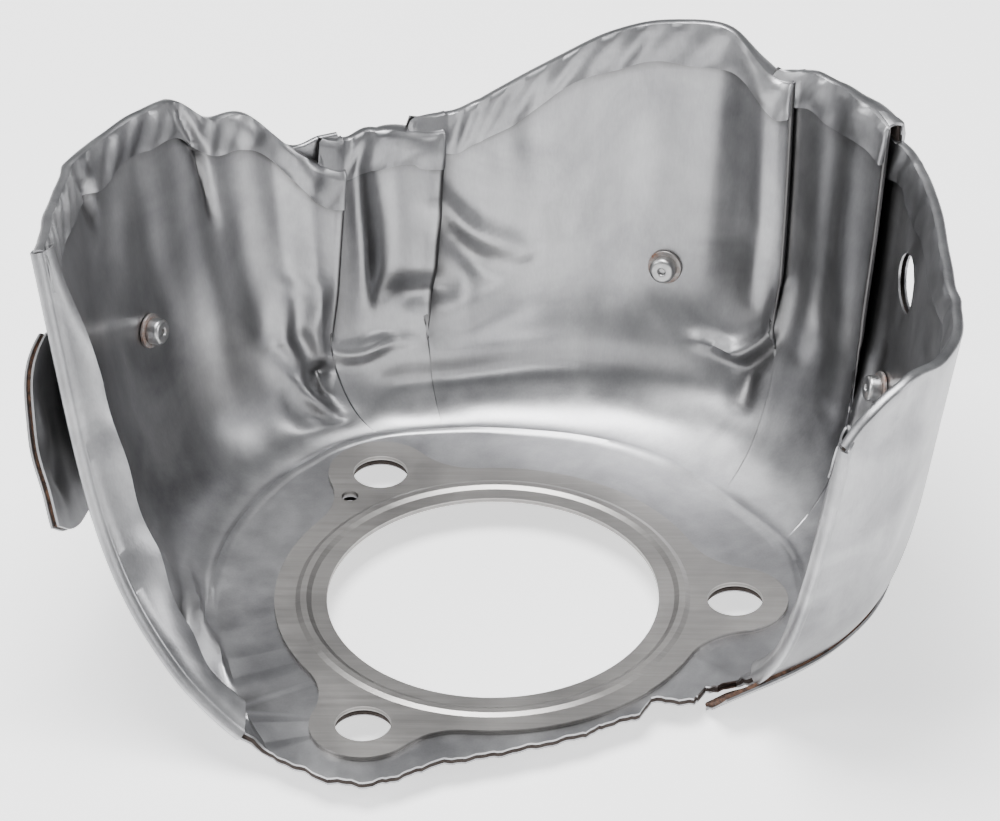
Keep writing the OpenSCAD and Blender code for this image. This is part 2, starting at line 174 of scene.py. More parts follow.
# Rough millimetres of one station and of the whole height, for distances along the wall
STATION_MM, HEIGHT_MM = 7.5, 95.0


def to_line(u, v, points):
    """Distance in rough millimetres to a line through (u, v) points, and how far along (0 to 1)."""
    q = np.stack([u*STATION_MM, v*HEIGHT_MM], -1)
    p = np.array(points, float)*(STATION_MM, HEIGHT_MM)
    best, along = np.full(q.shape[:-1], 1e9), np.zeros(q.shape[:-1])
    for k in range(len(p) - 1):
        d = p[k + 1] - p[k]
        t = np.clip(((q - p[k])@d)/(d@d), 0, 1)
        r = np.linalg.norm(q - p[k] - t[..., None]*d, axis=-1)
        nearer = r < best
        best, along = np.where(nearer, r, best), np.where(nearer, (k + t)/(len(p) - 1), along)
    return best, along


# Sharp folds and soft swellings of the sheet: points (u, v), height into the bowl, half width
CREASES = [
    ([(12.9, 0.84), (13.4, 0.78), (14.8, 0.65)], 1.5, 2.0),
    ([(13.2, 0.74), (14.2, 0.62)], -1.0, 2.2),
    ([(10.2, 0.45), (11.2, 0.47), (12.1, 0.475)], 1.3, 2.6),
    ([(9.1, 0.37), (9.25, 0.29), (9.4, 0.20)], 1.4, 2.6),
    ([(10.0, 0.44), (9.75, 0.40), (9.6, 0.33)], -1.5, 1.9),
    ([(9.4, 0.66), (9.0, 0.52), (9.3, 0.42)], 1.3, 2.4),
    ([(10.2, 0.70), (9.8, 0.56), (9.9, 0.46)], 1.1, 2.0),
    ([(8.4, 0.50), (8.9, 0.38), (8.6, 0.22)], 1.0, 3.4),
    ([(19.6, 0.62), (19.4, 0.53), (18.7, 0.44), (18.0, 0.43)], 1.7, 1.8),
    ([(19.3, 0.50), (18.9, 0.42), (18.9, 0.32)], -1.2, 2.0),
    ([(18.8, 0.95), (18.9, 0.75), (18.8, 0.58)], 0.9, 1.6),
    ([(20.3, 0.92), (20.4, 0.7), (20.2, 0.5)], 0.8, 2.2),
    ([(21.2, 0.90), (21.4, 0.66), (21.2, 0.42)], 0.9, 2.4),
    ([(22.1, 0.60), (22.2, 0.48), (21.9, 0.36)], 1.6, 2.0),
    ([(22.7, 0.66), (22.6, 0.52), (22.3, 0.40)], -1.1, 1.8),
    ([(3.7, 0.99), (4.0, 0.95), (4.2, 0.90)], -1.7, 1.3),
    ([(6.9, 1.00), (7.2, 0.96), (7.5, 0.92), (7.6, 0.82)], -1.5, 1.2),
    ([(5.2, 0.92), (4.8, 0.80), (5.0, 0.72)], 0.6, 3.0),
    ([(2.4, 0.16), (1.7, 0.10), (1.1, 0.01)], -2.4, 2.0),
    ([(3.0, 0.13), (2.3, 0.08), (1.7, 0.01)], 2.2, 2.2),
    ([(1.2, 0.20), (0.8, 0.10), (0.5, 0.01)], 2.2, 2.0),
    ([(3.2, 0.30), (2.6, 0.20), (2.3, 0.12)], 1.0, 2.6),
    ([(28.4, 0.95), (28.6, 0.80), (28.3, 0.62)], -0.7, 2.4),
    ([(24.6, 0.98), (24.4, 0.84), (24.7, 0.70)], 0.7, 2.4),
    ([(26.1, 1.00), (26.0, 0.93), (26.4, 0.86)], -1.1, 1.5),
    ([(16.2, 0.98), (15.9, 0.80), (15.4, 0.62)], 0.7, 3.2),
    ([(14.3, 0.98), (14.5, 0.86), (15.2, 0.74)], 0.7, 2.6),
    ([(12.0, 0.98), (12.1, 0.80), (11.9, 0.62)], 0.9, 2.6),
    ([(11.4, 0.94), (11.5, 0.76), (11.4, 0.60)], -0.7, 1.8),
]
# Round dents and bumps: u, v, height into the bowl, radius in millimetres
DENTS = [(12.6, 0.62, -1.7, 4.5), (13.6, 0.55, 0.9, 6), (9.7, 0.41, -0.7, 2.6),
         (7.6, 0.62, 0.9, 9), (6.2, 0.35, -0.8, 10), (17.2, 0.35, 0.7, 10),
         (20.8, 0.56, -0.8, 5), (22.6, 0.40, -0.9, 5), (2.6, 0.05, -0.9, 4), (0.9, 0.2, -1.0, 5)]
# Radius of the flat place round a rivet
RIVET_FLAT_R = 6
# How far the left front edge's flange stands into the bowl, at heights up the edge
FLANGE_V = [0, 0.05, 0.1, 0.275, 0.375, 0.475, 0.625, 0.8, 0.9, 1.0]
FLANGE_H = [0.4, 1.5, 3.0, 4.9, 5.8, 6.5, 5.8, 5.0, 3.2, 1.6]


def relief(u, v):
    """How far hand work and pressing move the sheet into the bowl, in millimetres."""
    r = np.zeros(np.broadcast(u, v).shape)
    for points, height, width in CREASES:
        d, along = to_line(u, v, points)
        r += height*np.exp(-(d/width)**2)*(0.35 + 0.65*np.sin(np.pi*np.clip(along, 0.04, 0.96)))
    for du, dv, height, radius in DENTS:
        d2 = ((u - du)*STATION_MM)**2 + ((v - dv)*HEIGHT_MM)**2
        r += height*np.exp(-d2/radius**2)
    # Soft upright waves of the drawn sheet, stronger towards the rim
    wave = (np.sin(2.1*u + 0.7) + 0.7*np.sin(3.9*u + 1.3*v + 2) + 0.5*np.sin(6.7*u - 2*v))
    r += 0.13*wave*smooth(v, 0.25, 0.8)
    r += 0.16*np.sin(9*v + 0.8*u)*np.sin(1.3*u + 3*v)*smooth(v, 0.05, 0.2)
    # Level swelling in the hollow between floor and back wall
    back = smooth(u, 10.6, 12)*(1 - smooth(u, 17.5, 19.5))
    r += back*(0.8*np.exp(-((v - 0.42)/0.075)**2) - 0.45*np.exp(-((v - 0.31)/0.06)**2))
    # Small step where the pressed floor ends
    r += 0.5*np.exp(-((v - 0.035)/0.014)**2)
    # The sheet is flat round the rivets and along its floor edge
    quiet = np.ones_like(r)
    for at in (LEFT_RIVET, REAR_RIVET, RIGHT_RIVET):
        d2 = ((u - at[0])*STATION_MM)**2 + ((v - at[1])*HEIGHT_MM)**2
        quiet *= 1 - np.exp(-d2/RIVET_FLAT_R**2)
    return r*quiet*smooth(v, 0, 0.02)


# How many stations each lap moves sideways on its way down
LAP_DRIFT = [-0.8, -0.35, 0.15, -0.1]


def drift(u, v):
    """Sideways shift of the sheet's columns, which makes the laps lean."""
    down = np.clip((1 - v)/0.55, 0, 1)
    return sum(d*down*np.exp(-((u - s)/0.7)**2) for s, d in zip(LAPS, LAP_DRIFT))


def lap_depth(u):
    """Depth of the laps at station u, blended from one lap to the next."""
    return np.interp(u, LAPS, LAP_DEPTHS)


def lean_part(u):
    """Share of the lap's depth at station u: each panel leans in towards its right edge."""
    u = np.asarray(u, float)
    return sum(np.where(u < s, smooth(u, s - 1.6, s - 0.7), 0) for s in LAPS)


def backed_part(u):
    """The same for the sheets behind, which fall back before the lap's fold."""
    u = np.asarray(u, float)
    return sum(smooth(u, s - 1.6, s - 1.0)*(1 - smooth(u, s - 1.0, s - 0.6)) for s in LAPS)*0.35


def opening(v):
    """How far the laps are open at height v, 0 to 1."""
    return smooth(v, LAP_FROM, LAP_FULL)


def lap_lean(u, v):
    """How far a panel leans into the bowl on its way to its lap."""
    return lap_depth(u)*lean_part(u)*opening(v)


COLUMNS_PER_STATION = 12


def columns(folded):
    """Columns of a sheet: station below the laps, station where they are open, share of the lap's
    depth, extra rim height. A folded sheet also gets the columns of each lap's fold."""
    out = []
    for u in np.arange(0, LAST + 0.01, 1/COLUMNS_PER_STATION):
        if min((u - s if u > s else (s - u)*0.5) for s in LAPS) > 0.05:
            out.append((u, u, float(lean_part(u)), float(rim_lift(u))))
    # At each lap the panel's edge comes first, then its fold, then the panel behind
    for s, rise in zip(LAPS, LAP_RISE):
        out += [(s - 0.07, s - 0.05, 0.97, 0.0), (s - 0.05, s - 0.01, 1.0, 0.0)]
        if folded:
            out += [(s - 0.04 + 0.007*i, s + du, f, rise*min(max(i - 6, 0)/2, 1))
                    for i, (du, f) in enumerate(FOLD_BACK)]
        out.append((s + 0.045, s + 0.06, 0.02, rise))
    out.sort(key=lambda c: c[0])
    return np.array(out)


def sheet_point(cols, v, d, above=0.0, folding=1.0):
    """Points of every column at height v, d outward from the inside face.
    folding is 1 where the sheet makes the lap's fold itself and 0 where it lies behind the fold."""
    g = opening(v)
    u = cols[:, 0] + (cols[:, 1] - cols[:, 0])*g*folding
    u = np.clip(u + drift(cols[:, 0], v), 0, LAST)
    vv = np.full_like(u, v) if np.isscalar(v) else v
    lift = cols[:, 3]
    n = outward(u, vv, lift)
    # At the floor edge outward turns into down
    turn = smooth(vv, 0, 0.04)[:, None]
    n = n*turn + np.array([0, 0, -1.0])*(1 - turn)
    n /= np.linalg.norm(n, axis=-1, keepdims=True)
    share = folding*cols[:, 2] + (1 - folding)*backed_part(cols[:, 0])
    shift = d - lap_depth(cols[:, 0])*share*g - relief(u, vv)
    p = wall(u, vv, lift) + shift[:, None]*n
    if above:
        rise = wall(u, np.ones_like(u), lift) - wall(u, np.full_like(u, 0.9), lift)
        p = p + above*rise/np.linalg.norm(rise, axis=-1, keepdims=True)
    return p


# Heights of a sheet's rows, closer together where the floor turns up into the wall
ROWS = np.concatenate([[0, 0.012, 0.024, 0.035, 0.047, 0.06], np.linspace(0.075, 1, 68)])


# ---------------------------------------------------------------- mesh helpers
def add_object(name, mesh, nodes, material):
    """Puts a mesh in the scene as a piece of the part; nodes are the CAD nodes that it replaces."""
    o = bpy.data.objects.new(name, mesh)
    bpy.context.scene.collection.objects.link(o)
    mesh.materials.clear()
    mesh.materials.append(material)
    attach(o, "root")
    if nodes:
        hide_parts(*nodes)


def make_mesh(name, points, faces, weld=1e-6, painted_shade=None, recalc=False):
    """Cleaned mesh from points in millimetres, with painted shade per point if given; recalc turns faces
    outward.
    """
    mesh = bpy.data.meshes.new(name)
    mesh.from_pydata([tuple(p*MM) for p in np.asarray(points)], [], faces)
    if painted_shade is not None:
        # Painted shade as a point attribute, which the steel material reads to darken the colour
        layer = mesh.attributes.new("painted_shade", "FLOAT", "POINT")
        layer.data.foreach_set("value", np.asarray(painted_shade, np.float32))
    bm = bmesh.new()
    bm.from_mesh(mesh)
    bmesh.ops.remove_doubles(bm, verts=bm.verts, dist=weld)
    bmesh.ops.dissolve_degenerate(bm, dist=1e-7, edges=bm.edges)
    loose = [v for v in bm.verts if not v.link_faces]
    bmesh.ops.delete(bm, geom=loose, context="VERTS")
    if recalc:
        bmesh.ops.recalc_face_normals(bm, faces=bm.faces)
    bm.to_mesh(mesh)
    bm.free()
    return mesh


def thicken(mesh, thickness):
    """Closed sheet that grows away from the faces' front side."""
    o = bpy.data.objects.new("work", mesh)
    bpy.context.scene.collection.objects.link(o)
    m = o.modifiers.new("thickness", "SOLIDIFY")
    m.thickness, m.offset, m.use_even_offset = thickness*MM, -1, False
    made = bpy.data.meshes.new_from_object(o.evaluated_get(bpy.context.evaluated_depsgraph_get()))
    made.name = mesh.name
    bpy.data.objects.remove(o)
    return made


def grid_quads(rows, cols, flip):
    """Quads between neighbouring points of a grid, turned over if flip."""
    quads = []
    for j in range(rows - 1):
        for i in range(cols - 1):
            q = (j*cols + i, j*cols + i + 1, (j + 1)*cols + i + 1, (j + 1)*cols + i)
            quads.append(q[::-1] if flip else q)
    return quads


def shade(mesh, angle=40):
    """Smooth shading up to an angle; level faces such as the floor stay flat."""
    mesh.polygons.foreach_set("use_smooth", [abs(p.normal.z) < 0.99995 for p in mesh.polygons])
    mesh.set_sharp_from_angle(angle=math.radians(angle))


def circle(cx, cy, r, n):
    """n points round a centre."""
    return [(cx + r*math.cos(2*math.pi*k/n), cy + r*math.sin(2*math.pi*k/n)) for k in range(n)]


def hole_list(extra):
    """Floor openings as (x, y, radius, points), cut extra wider where the sheet is felt."""
    holes = [(0, 0, WINDOW_R + extra, 160)]
    for a in (0, 120, 240):
        c, s = math.cos(math.radians(a)), math.sin(math.radians(a))
        holes.append((STUD_CIRCLE_R*c, STUD_CIRCLE_R*s, STUD_R - (FELT_STUD_CUT if extra else 0), 56))
    a = math.radians(LOCATING_ANGLE)
    holes.append((LOCATING_AT*math.cos(a), LOCATING_AT*math.sin(a), LOCATING_R + extra, 28))
    return holes


def front_edge():
    """Free front edge of the floor, finely cut and a little ragged, right to left."""
    corner_r, corner_l = STATIONS[LAST, :2], STATIONS[0, :2]
    p = np.array([corner_r, *FLOOR_FRONT, corner_l], float)
    out = []
    for k in range(len(p) - 1):
        n = max(int(np.linalg.norm(p[k + 1] - p[k])/0.8), 1)
        for t in np.arange(n)/n:
            q = p[k] + (p[k + 1] - p[k])*t
            s = k + t
            wobble = 0.28*math.sin(7.3*s) + 0.18*math.sin(17.9*s + 1)
            # The corner at the right wall stays clean
            if s > 0.3:
                q = q + wobble*np.array([0.3, 1.0])
                q[1] = max(q[1], FRONT_LIMIT)
            out.append(q)
    return np.array(out)


def floor_mesh(outline, z, extra, flip):
    """Flat floor with its window and holes, triangulated inside the outline."""
    holes = hole_list(extra)
    verts = [tuple(p) for p in outline]
    edges = [(i, (i + 1) % len(verts)) for i in range(len(verts))]
    for cx, cy, r, n in holes:
        b = len(verts)
        verts += circle(cx, cy, r, n)
        edges += [(b + i, b + (i + 1) % n) for i in range(n)]
    made = geometry.delaunay_2d_cdt([Vector(v) for v in verts], edges, [], 0, 1e-5)
    vs, fs = made[0], made[2]
    poly = np.array(outline)

    def inside(x, y):
        """True within the outline: an odd number of its edges lies to one side."""
        a, b = poly, np.roll(poly, -1, 0)
        cross = (a[:, 1] > y) != (b[:, 1] > y)
        with np.errstate(divide="ignore", invalid="ignore"):
            xs = (b[:, 0] - a[:, 0])*(y - a[:, 1])/(b[:, 1] - a[:, 1]) + a[:, 0]
        return bool(np.count_nonzero(cross & (x < xs)) % 2)

    faces = []
    for f in fs:
        x = sum(vs[i].x for i in f)/3
        y = sum(vs[i].y for i in f)/3
        if inside(x, y) and all(math.hypot(x - cx, y - cy) > r*0.999 for cx, cy, r, _ in holes):
            area = (vs[f[1]] - vs[f[0]]).cross(vs[f[2]] - vs[f[0]])
            f = list(f) if (area > 0) != flip else list(f)[::-1]
            faces.append(f)
    return [(v.x, v.y, z) for v in vs], faces


def cut_round(grid, quads, at, radius):
    """Opens a round hole through a sheet: drops the quads inside and brings the edge to the circle."""
    c = wall(np.array(at[0]), np.array(at[1]))
    n = outward(np.array(at[0]), np.array(at[1]))
    p = grid - c
    along = p@n
    radial = p - along[:, None]*n
    rho = np.linalg.norm(radial, axis=-1)
    near = np.abs(along) < 9    # this side of the bowl only
    inner = near & (rho < radius)
    quads = [q for q in quads if not all(inner[i] for i in q)]
    used = np.zeros(len(grid), bool)
    for q in quads:
        if any(inner[i] for i in q):
            used[list(q)] = True
    move = used & inner
    grid = grid.copy()
    grid[move] = c + along[move, None]*n + radial[move]/rho[move, None]*radius
    return grid, quads


def hem_width(u):
    """Height of the hem's band, a little uneven."""
    return HEM + 0.7*np.sin(1.9*u) + 0.45*np.sin(4.3*u + 1)


def top_tenth(u):
    """Length of the wall's top tenth, which turns millimetres below the rim into v."""
    return np.linalg.norm(wall(u, 1.0) - wall(u, 0.9), axis=-1)


def hem_rows(cols):
    """Rows over the rim and down the inside, with an uneven lower edge and a soft swelling."""
    u = cols[:, 0]
    rows = []
    middle, half = (OUTER_HI - GAP - SKIN)/2, (OUTER_HI + GAP + SKIN)/2
    for a in (25, 50, 75, 105, 130, 155):
        c, s = math.cos(math.radians(a)), math.sin(math.radians(a))
        rows.append(sheet_point(cols, 1.0, middle + half*c, above=(GAP + SKIN)*s, folding=a/180))
    reach = 0.1*hem_width(u)/top_tenth(u)
    for k in range(1, 11):
        t = k/10
        swell = 0.34*math.sin(math.pi*t)*(1 + 0.6*np.sin(5.1*u)) + 0.16*np.sin(11*u + 5*t)
        lift = 0.28*t + 0.22*t**4*(1 + np.sin(3.3*u))
        rows.append(sheet_point(cols, 1 - reach*t, -GAP - SKIN - lift - np.maximum(swell, 0)))
    return rows


def painted_shade_rows(cols):
    """Painted shade, 0 to 1: darkening under the hem's lower edge, beside each lap's free edge and in the
    deep creases, where shade falls.
    """
    u = cols[:, 0]
    below = top_tenth(u)
    edge = 1 - 0.1*hem_width(u)/below
    rows = []
    for v in ROWS:
        g = np.exp(-np.maximum((edge - v)*below*10, 0)/1.1)
        for s in LAPS:
            t = (u - s)*STATION_MM
            g = np.maximum(g, np.exp(-np.maximum(t, 0)/2.2)*(t > -0.5)*smooth(v, 0.42, 0.6))
        for line, height, width in CREASES:
            if height < -1:
                away, _ = to_line(u, np.full_like(u, v), line)
                g = np.maximum(g, 0.8*np.exp(-(away/width)**2))
        rows.append(g)
    return rows


def shield_sheet(name, d, folding, extra, flip, hem=False):
    """One face of a shield sheet, floor and wall in one piece, d outward from the inside face."""
    cols = columns(folding > 0 or hem)
    rows = [sheet_point(cols, v, d, folding=folding) for v in ROWS]
    # Painted shade per point: none on the outer sheet with its hem, darkening near the hem edge, laps and
    # creases on the other sheets
    if hem:
        rows += hem_rows(cols)
        painted_shade = np.zeros(len(rows)*len(cols))
    else:
        painted_shade = np.concatenate(painted_shade_rows(cols))
    quads = grid_quads(len(rows), len(cols), flip)
    grid, quads = cut_round(np.concatenate(rows), quads, WALL_HOLE, WALL_HOLE_R + extra)
    # The floor starts at the wall's lowest row; points closer than a micron count once
    outline = np.vstack([rows[0][:, :2], front_edge()[1:]])
    keep = [0]
    for i in range(1, len(outline)):
        if np.linalg.norm(outline[i] - outline[keep[-1]]) > 1e-3:
            keep.append(i)
    floor_points, floor_faces = floor_mesh(outline[keep], -d, extra, flip)
    points = np.vstack([grid, np.array(floor_points)])
    faces = quads + [tuple(i + len(grid) for i in f) for f in floor_faces]
    painted_shade = np.concatenate([painted_shade, np.zeros(len(floor_points))])
    return make_mesh(name, points, faces, 2e-6, painted_shade)


# ---------------------------------------------------------------- materials
# Colour of the painted shade, mixed in under the hem, beside the laps and in deep creases
PAINTED_SHADE_COLOUR = (0.045, 0.042, 0.04)
RUST_COLOUR = (0.16, 0.055, 0.02)


def grey(k):
    """Neutral colour of one value."""
    return (k, k, k)


def steel(name, dark, light, rough, tone_scale, stain, bump, streak=(220, 220, 26),
          grain=(2600, 2600, 500), rust=0.0):
    """Bare steel: cloudy tone from dark to light, drawn streaks, fine grain, stains, painted shade and
    rust.
    streak and grain are the noise's scale along each axis, bump is in millimetres."""
    m = bpy.data.materials.new(name)
    m.use_nodes = True
    nt = m.node_tree
    bsdf = nt.nodes["Principled BSDF"]
    bsdf.inputs["Metallic"].default_value = 1.0
    coord = nt.nodes.new("ShaderNodeTexCoord").outputs["Object"]

    def noise(scale, detail=4.0, stretch=(1, 1, 1), rough_value=0.55, distort=0.0):
        """Noise in object space, its scale multiplied by stretch along each axis."""
        mapping = nt.nodes.new("ShaderNodeMapping")
        mapping.inputs["Scale"].default_value = stretch
        nt.links.new(coord, mapping.inputs["Vector"])
        t = nt.nodes.new("ShaderNodeTexNoise")
        t.inputs["Scale"].default_value = scale
        t.inputs["Detail"].default_value = detail
        t.inputs["Roughness"].default_value = rough_value
        t.inputs["Distortion"].default_value = distort
        nt.links.new(mapping.outputs[0], t.inputs["Vector"])
        return t.outputs["Fac"]

    def ramp(fac, stops):
        """Colour ramp with two stops, each a position and a colour."""
        r = nt.nodes.new("ShaderNodeValToRGB")
        for element, (position, colour) in zip(r.color_ramp.elements, stops):
            element.position, element.color = position, (*colour, 1)
        nt.links.new(fac, r.inputs["Fac"])
        return r.outputs["Color"]

    def mix(kind, fac, a, b):
        """Blend of two colours; each input is a value or another node's output."""
        x = nt.nodes.new("ShaderNodeMix")
        x.data_type, x.blend_type = "RGBA", kind
        if isinstance(fac, float):
            x.inputs["Factor"].default_value = fac
        else:
            nt.links.new(fac, x.inputs["Factor"])
        # A colour mix takes its two colours at inputs 6 and 7 and gives the result at output 2
        for k, src in ((6, a), (7, b)):
            if isinstance(src, tuple):
                x.inputs[k].default_value = (*src, 1)
            else:
                nt.links.new(src, x.inputs[k])
        return x.outputs[2]

    def maths(op, a, b):
        """One sum on two numbers or outputs."""
        x = nt.nodes.new("ShaderNodeMath")
        x.operation = op
        for k, src in enumerate((a, b)):
            if isinstance(src, (int, float)):
                x.inputs[k].default_value = src
            else:
                nt.links.new(src, x.inputs[k])
        return x.outputs[0]

    cloud = noise(tone_scale, 5, distort=0.6)
    streaks = noise(1, 5, stretch=streak)
    fine = noise(1, 3, stretch=grain)
    colour = ramp(cloud, [(0.32, dark), (0.68, light)])
    colour = mix("MULTIPLY", 0.55, colour, ramp(streaks, [(0.3, grey(0.72)), (0.7, grey(1.0))]))
    colour = mix("MULTIPLY", 0.35, colour, ramp(fine, [(0.3, grey(0.75)), (0.7, grey(1.0))]))
    spots = ramp(noise(150, 6, rough_value=0.7), [(0.60, grey(0)), (0.74, grey(1))])
    spot_fac = maths("MULTIPLY", spots, stain)
    colour = mix("MIX", spot_fac, colour, tuple(0.55*c for c in dark))
    rough_out = maths("ADD", maths("MULTIPLY", cloud, 0.16), rough - 0.08)
    rough_out = maths("ADD", rough_out, maths("MULTIPLY", streaks, 0.08))
    # Painted shade: the point attribute darkens the colour under the hem, beside the laps and in deep
    # creases
    painted_shade_node = nt.nodes.new("ShaderNodeAttribute")
    painted_shade_node.attribute_name = "painted_shade"
    colour = mix("MIX", maths("MULTIPLY", painted_shade_node.outputs["Fac"], 0.75), colour, PAINTED_SHADE_COLOUR)
    if rust:
        # More rust moves the ramp down, so more of the noise shows as spots
        least, most = 0.62 - 0.3*rust, 0.80 - 0.3*rust
        fac = ramp(noise(260, 6, rough_value=0.7), [(least, grey(0)), (most, grey(1))])
        colour = mix("MIX", fac, colour, RUST_COLOUR)
        rough_out = maths("ADD", rough_out, maths("MULTIPLY", fac, 0.3))
        keep = maths("SUBTRACT", 1.0, maths("MULTIPLY", fac, 0.9))
        nt.links.new(keep, bsdf.inputs["Metallic"])
    nt.links.new(colour, bsdf.inputs["Base Color"])
    nt.links.new(rough_out, bsdf.inputs["Roughness"])
    height = maths("ADD", maths("MULTIPLY", streaks, 0.5), maths("MULTIPLY", fine, 0.3))
    height = maths("ADD", height, maths("MULTIPLY", noise(320, 4), 0.5))
    b = nt.nodes.new("ShaderNodeBump")
    b.inputs["Strength"].default_value = 0.5
    b.inputs["Distance"].default_value = bump*MM
    nt.links.new(height, b.inputs["Height"])
    nt.links.new(b.outputs[0], bsdf.inputs["Normal"])
    return m


# Noise scales of the gasket's brushed face and of the small turned pieces
BRUSHED = {"streak": (30, 900, 30), "grain": (120, 5200, 120)}
SMALL = {"streak": (700, 700, 700), "grain": (2500, 2500, 2500)}

inner_steel = steel("inner_sheet_steel", (0.30, 0.30, 0.31), (0.50, 0.50, 0.51),
                    rough=0.29, tone_scale=45, stain=0.18, bump=0.07)
outer_steel = steel("outer_sheet_steel", (0.27, 0.27, 0.28), (0.48, 0.48, 0.49),
                    rough=0.34, tone_scale=60, stain=0.35, bump=0.12)
deflector_steel = steel("deflector_sheet_steel", (0.26, 0.26, 0.265), (0.42, 0.42, 0.43),
                        rough=0.40, tone_scale=60, stain=0.35, bump=0.12)
gasket_steel = steel("gasket_spring_steel", (0.33, 0.32, 0.31), (0.42, 0.405, 0.39),
                     rough=0.34, tone_scale=55, stain=0.12, bump=0.05, **BRUSHED)
gasket_core = steel("gasket_core_steel", (0.25, 0.24, 0.23), (0.33, 0.32, 0.31),
                    rough=0.42, tone_scale=55, stain=0.2, bump=0.05, **BRUSHED)
rivet_steel = steel("rivet_steel", grey(0.46), grey(0.62),
                    rough=0.30, tone_scale=300, stain=0.25, bump=0.06, rust=0.15, **SMALL)
washer_steel = steel("washer_steel", (0.34, 0.32, 0.31), (0.50, 0.48, 0.47),
                     rough=0.40, tone_scale=300, stain=0.4, bump=0.1, rust=0.5, **SMALL)
collar_steel = steel("collar_steel", grey(0.34), grey(0.50),
                     rough=0.40, tone_scale=300, stain=0.3, bump=0.1, rust=0.35, **SMALL)


def fibre_material(name, colour):
    """Insulation felt with scorched fibres."""
    m = bpy.data.materials.new(name)
    m.use_nodes = True
    nt = m.node_tree
    bsdf = nt.nodes["Principled BSDF"]
    bsdf.inputs["Roughness"].default_value = 0.9
    coord = nt.nodes.new("ShaderNodeTexCoord")
    noise = nt.nodes.new("ShaderNodeTexNoise")
    noise.inputs["Scale"].default_value = 900
    noise.inputs["Detail"].default_value = 6
    nt.links.new(coord.outputs["Object"], noise.inputs["Vector"])
    ramp = nt.nodes.new("ShaderNodeValToRGB")
    ramp.color_ramp.elements[0].position = 0.35
    ramp.color_ramp.elements[0].color = (0.02, 0.012, 0.009, 1)
    ramp.color_ramp.elements[1].position = 0.7
    ramp.color_ramp.elements[1].color = (*colour, 1)
    nt.links.new(noise.outputs["Fac"], ramp.inputs["Fac"])
    nt.links.new(ramp.outputs["Color"], bsdf.inputs["Base Color"])
    bump = nt.nodes.new("ShaderNodeBump")
    bump.inputs["Distance"].default_value = 0.3*MM
    nt.links.new(noise.outputs["Fac"], bump.inputs["Height"])
    nt.links.new(bump.outputs[0], bsdf.inputs["Normal"])
    return m


felt = fibre_material("insulation_felt", (0.13, 0.062, 0.036))
# Darker copy of the felt for the main sheet, whose edges show in the floor holes: painted shade for the
# shaded hole walls
painted_shade_felt = fibre_material("insulation_felt_painted_shade", (0.035, 0.026, 0.022))

# ---------------------------------------------------------------- shield sheets
inner = thicken(shield_sheet("inner_shell", d=0.0, folding=1.0, extra=0.0, flip=False), SKIN)
shade(inner)
add_object("inner_shell", inner, ["inner_skin"], inner_steel)

mat_sheet = thicken(shield_sheet("insulation_sheet", d=MAT_LO, folding=0.0, extra=FELT_CUT, flip=False),
                    MAT)
shade(mat_sheet)
# The main sheet's felt takes the darker copy, painted shade where its edges show in the holes
add_object("insulation_sheet", mat_sheet, ["insulation_mat"], painted_shade_felt)

# Drawn by its outside face and the hem's front, with the thickness behind them
outer = thicken(shield_sheet("outer_shell", d=OUTER_HI, folding=0.0, extra=0.0, flip=True, hem=True),
                SKIN)
shade(outer)
add_object("outer_shell", outer, ["outer_skin"], outer_steel)


# ---------------------------------------------------------------- rolled front edges
def left_flange(v):
    """How far the left edge's inside leg stands into the bowl at height v."""
    return np.interp(v, FLANGE_V, FLANGE_H) + 0.3*np.sin(31*v)


def right_flange(v):
    """The same for the right edge, where it stands in less."""
    return 1.3 + 0.4*np.sin(17*v)


def rolled_edge(name, u_edge, inward, leg_in, leg_out, v0, flange):
    """Strip of the outer sheet that goes round a free front edge: outside leg, nose, inside leg.
    inward is the direction of u away from the edge, v0 the height where the strip starts."""
    vs = np.linspace(v0, 1.0, 90)
    inside, outside = -GAP - SKIN - 0.02, OUTER_HI + 0.05 + SKIN
    middle, half = (inside + outside)/2, (outside - inside)/2
    # Section: millimetres from the edge, distance outward, share of the flange
    section = [(leg_out*t, outside - 0.25*t*t, 0.0) for t in (1, 0.75, 0.5, 0.25)]
    section += [(-0.5*math.sin(math.radians(a)), middle + half*math.cos(math.radians(a)), 0.0)
                for a in (0, 25, 50, 75, 90, 105, 130, 155, 180)]
    section += [(leg_in*t, inside - 0.35*math.sin(math.pi*t), t**0.9) for t in (0.2, 0.4, 0.6, 0.8, 0.9, 1)]
    section += [(leg_in + 0.35, inside + 0.15, 1.0), (leg_in + 0.55, inside + 0.6, 0.97),
                (leg_in + 0.5, inside + 1.0, 0.9)]
    n = outward(np.full_like(vs, u_edge), vs)
    stand = flange(vs)
    wobble = 0.25*np.sin(23*vs + 1) + 0.15*np.sin(51*vs)
    station = 1/STATION_MM
    rows = []
    for along, d, share in section:
        u = np.full_like(vs, np.clip(u_edge + inward*along*station*0.95, -0.2, LAST + 0.2))
        if along > 0:
            u = u + inward*wobble*station*along/max(leg_in, leg_out)
        r = relief(np.clip(u, 0, LAST), vs)
        rows.append(wall(u, vs) + (d - r - stand*share)[:, None]*n)
    faces = grid_quads(len(rows), len(vs), inward < 0)
    mesh = thicken(make_mesh(name, np.concatenate(rows), faces, recalc=True), SKIN)
    shade(mesh)
    add_object(name, mesh, [], outer_steel)


rolled_edge("left_front_rolled_edge", 0.0, 1, leg_in=3.2, leg_out=2.0, v0=0.06, flange=left_flange)
rolled_edge("right_front_rolled_edge", float(LAST), -1, leg_in=3.6, leg_out=2.2, v0=0.10,
            flange=right_flange)


TAB_STATIONS, TAB_FOOT_V, TAB_TOP = (9.75, 10.95), 0.86, 57.0


